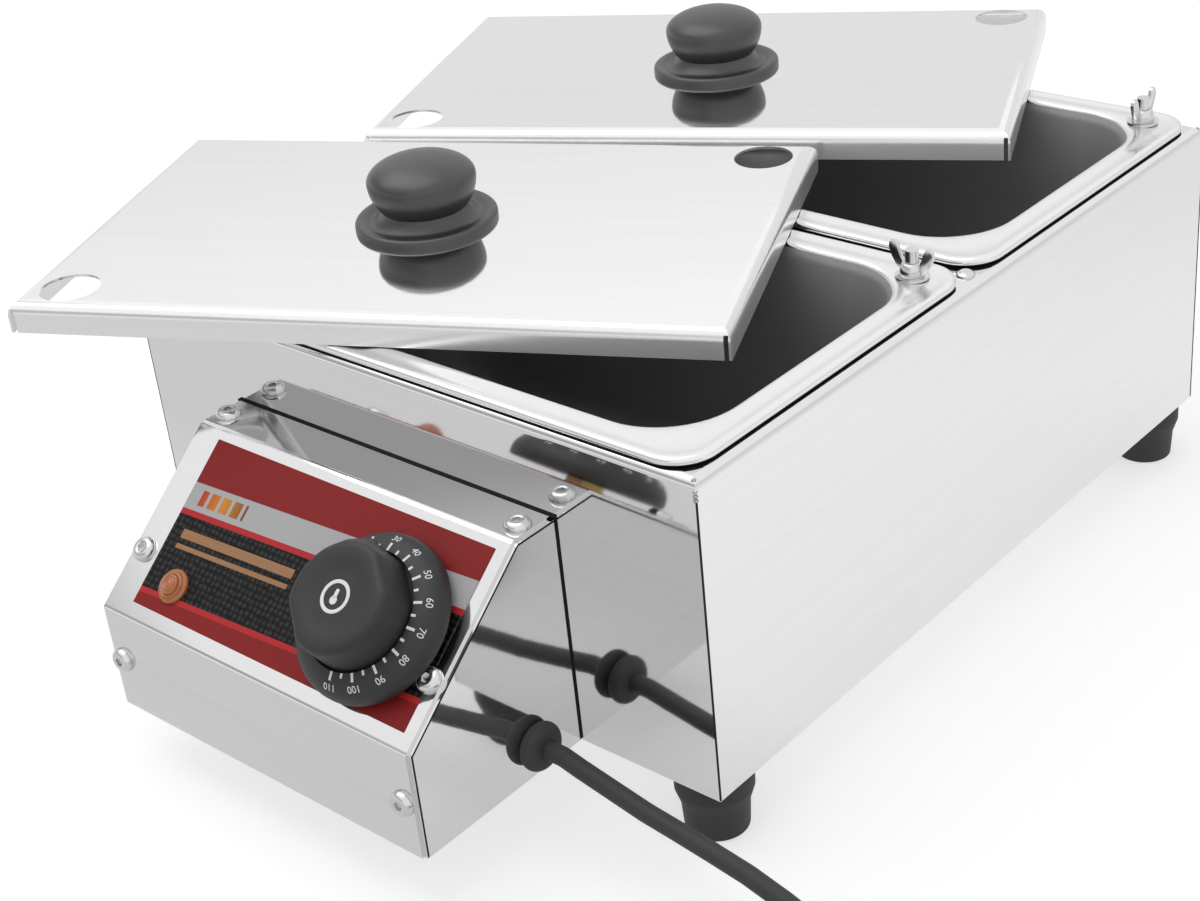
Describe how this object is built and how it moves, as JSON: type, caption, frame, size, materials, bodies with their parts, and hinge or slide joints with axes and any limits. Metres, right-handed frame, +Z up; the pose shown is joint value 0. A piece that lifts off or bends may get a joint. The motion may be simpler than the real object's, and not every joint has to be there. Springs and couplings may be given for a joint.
{
  "type": "chocolate melting tank",
  "caption": "Electric chocolate melting tank: steel casing on rubber feet, drop-in pans with flanges and wing nuts, loose knobbed lids, slanted control box with dial, cord and plug.",
  "frame": {"origin": "middle of the footprint box on the bench, with both lids lying ajar and the cord left out", "axes": "+Z is up, -Y is the front with the control box, +X is the right side where the cord comes out"},
  "size_m": [0.527, 0.5729, 0.1893],
  "materials": {
    "casing_steel": "polished stainless sheet",
    "pan_steel": "stainless, dark inside and bright on the flange",
    "lid_steel": "polished stainless sheet",
    "bright_steel": "bright plated fasteners",
    "insulation": "felted mineral mat",
    "heater_pad": "matte silicone pad",
    "label_film": "printed plastic film",
    "amber_lens": "clear amber moulding",
    "black_plastic": "fine satin moulding",
    "knob_plastic": "fine matte moulding",
    "cream_plastic": "heat resistant moulding",
    "brass": "plain turned metal",
    "grey_rubber": "matte moulded rubber",
    "cord_rubber": "matte cable sheath"
  },
  "bodies": {
    "tank": {"casing_shell": "casing_steel", "base_plate": "casing_steel", "cross_rail": "casing_steel", "rail_rivets": "bright_steel", "insulation_mat": "insulation", "front_pan": "pan_steel", "rear_pan": "pan_steel", "front_heater": "heater_pad", "rear_heater": "heater_pad", "pan_studs": "bright_steel", "stud_washers": "bright_steel", "control_body": "casing_steel", "box_rivets": "bright_steel", "control_cover": "casing_steel", "cover_screws": "bright_steel", "label_plate": "label_film", "pilot_lens": "amber_lens", "pilot_body": "black_plastic", "thermostat_body": "cream_plastic", "thermostat_nut": "brass", "sensor_bulb": "brass", "terminal_block": "cream_plastic", "wall_grommet": "grey_rubber", "wiring": "cord_rubber", "front_left_foot": "grey_rubber", "front_right_foot": "grey_rubber", "rear_left_foot": "grey_rubber", "rear_right_foot": "grey_rubber", "foot_screws": "bright_steel", "foot_nuts": "bright_steel", "cord_gland": "grey_rubber", "power_cord": "cord_rubber", "cord_coil": "cord_rubber", "plug_body": "knob_plastic", "plug_pins": "brass"},
    "front_lid": {"front_lid": "lid_steel", "front_lid_knob": "knob_plastic", "front_knob_screw": "bright_steel"},
    "rear_lid": {"rear_lid": "lid_steel", "rear_lid_knob": "knob_plastic", "rear_knob_screw": "bright_steel"},
    "temperature_dial": {"control_knob": "black_plastic", "thermostat_shaft": "brass"},
    "front_wing_nut": {"front_wing_nut": "bright_steel"},
    "rear_wing_nut": {"rear_wing_nut": "bright_steel"}
  },
  "joints": [
    {"name": "front_lid_lift", "type": "slide", "parent": "tank", "child": "front_lid", "axis": [0, 0, 1], "range_m": [0, 0.15]},
    {"name": "rear_lid_lift", "type": "slide", "parent": "tank", "child": "rear_lid", "axis": [0, 0, 1], "range_m": [0, 0.15]},
    {"name": "temperature_turn", "type": "hinge", "parent": "tank", "child": "temperature_dial", "pos_m": [0.08165, -0.21091, 0.08886], "axis": [0, -0.644, 0.765], "range_deg": [-290, 0]},
    {"name": "front_nut_turn", "type": "hinge", "parent": "tank", "child": "front_wing_nut", "pos_m": [0.15895, -0.01147, 0.151], "axis": [0, 0, 1], "continuous": true},
    {"name": "rear_nut_turn", "type": "hinge", "parent": "tank", "child": "rear_wing_nut", "pos_m": [0.15895, 0.15553, 0.151], "axis": [0, 0, 1], "continuous": true}
  ]
}
